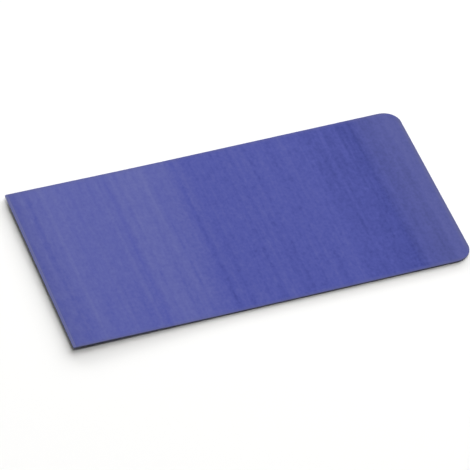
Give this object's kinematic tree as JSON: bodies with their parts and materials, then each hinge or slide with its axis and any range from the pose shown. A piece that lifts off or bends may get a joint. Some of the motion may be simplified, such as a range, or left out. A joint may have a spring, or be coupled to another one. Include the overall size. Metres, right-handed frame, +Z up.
{
  "type": "squeegee applicator",
  "caption": "Thin flexible plastic blade with a straight working edge and a round-cornered grip end, for smoothing vinyl film onto a surface.",
  "frame": {"origin": "centre of the footprint, on the surface the flat half of the blade rests on", "axes": "+X from the working edge towards the grip end, +Y along the working edge, +Z up, away from the surface it rests on"},
  "size_m": [0.1774, 0.1, 0.0014],
  "materials": {
    "blade_plastic": "satin blue sheet with fine extrusion lines parallel to the working edge"
  },
  "bodies": {
    "root": {"blade": "blade_plastic"}
  },
  "joints": []
}
